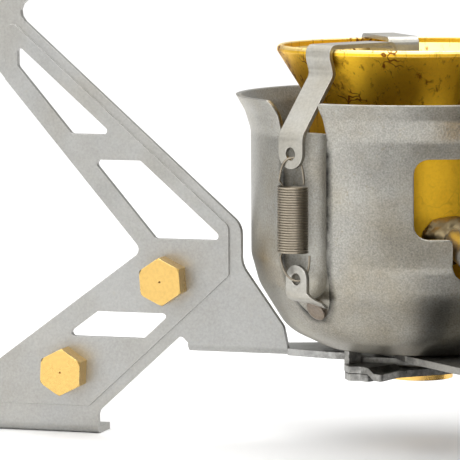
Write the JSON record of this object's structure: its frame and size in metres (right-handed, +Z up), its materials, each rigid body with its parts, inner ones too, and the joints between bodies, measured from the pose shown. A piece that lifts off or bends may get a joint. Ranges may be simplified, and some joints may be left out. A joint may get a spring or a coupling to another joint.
{
  "type": "multi-fuel camping stove",
  "caption": "Camping stove: sprung cup with a flared flame bowl, folding sheet legs with pot supports, control valve and hose spigot.",
  "frame": {"origin": "centre of the hub nut's flat underside, on the burner's axis", "axes": "+Z up, along the burner's axis; +X along the fuel line, over the fixed leg"},
  "size_m": [0.1514, 0.1723, 0.092],
  "materials": {
    "titanium_cup": "bead-blasted titanium, fine grain",
    "titanium_leg": "tumbled matt titanium sheet",
    "steel": "stamped stainless, satin",
    "spring_steel": "drawn wire, slightly tarnished",
    "tube_steel": "drawn tube, satin",
    "brass": "spun brass with heat and handling marks",
    "brass_jet": "turned brass, bright",
    "braze": "rough scaled brazing metal",
    "knob_plastic": "moulded heat-resistant plastic",
    "felt": "pressed fibre felt"
  },
  "bodies": {
    "burner": {"burner_cup": "titanium_cup", "flame_bowl": "brass", "flame_plate": "steel", "mixing_tube": "brass", "jet_block": "brass", "main_jet": "brass_jet", "priming_pad": "felt", "fuel_tube": "tube_steel", "brazed_joint": "braze", "valve_body": "brass", "packing_nut": "brass", "hose_nipple": "brass", "strap_1": "steel", "strap_2": "steel", "strap_3": "steel", "spring_1": "spring_steel", "spring_2": "spring_steel", "spring_3": "spring_steel", "hook_plate_1": "steel", "hook_plate_2": "steel", "hook_plate_3": "steel", "hook_rivets": "steel", "leg_fixed": "titanium_leg", "hub_bush": "brass", "hub_stud": "steel", "friction_washer": "spring_steel", "hub_nut": "brass_jet"},
    "left_leg": {"leg_left": "titanium_leg", "spare_jet_a": "brass_jet", "spare_jet_b": "brass_jet"},
    "right_leg": {"leg_right": "titanium_leg"},
    "valve": {"valve_spindle": "steel", "control_knob": "knob_plastic", "knob_screw": "steel"}
  },
  "joints": [
    {"name": "left_leg_fold", "type": "hinge", "parent": "burner", "child": "left_leg", "pos_m": [0, 0, 0.0032], "axis": [0, 0, 1], "range_deg": [-40, 0]},
    {"name": "right_leg_fold", "type": "hinge", "parent": "burner", "child": "right_leg", "pos_m": [0, 0, 0.00135], "axis": [0, 0, 1], "range_deg": [0, 40]},
    {"name": "valve_turn", "type": "hinge", "parent": "burner", "child": "valve", "pos_m": [0.068, 0.01, 0.02274], "axis": [0, 1, 0], "range_deg": [0, 360]}
  ]
}
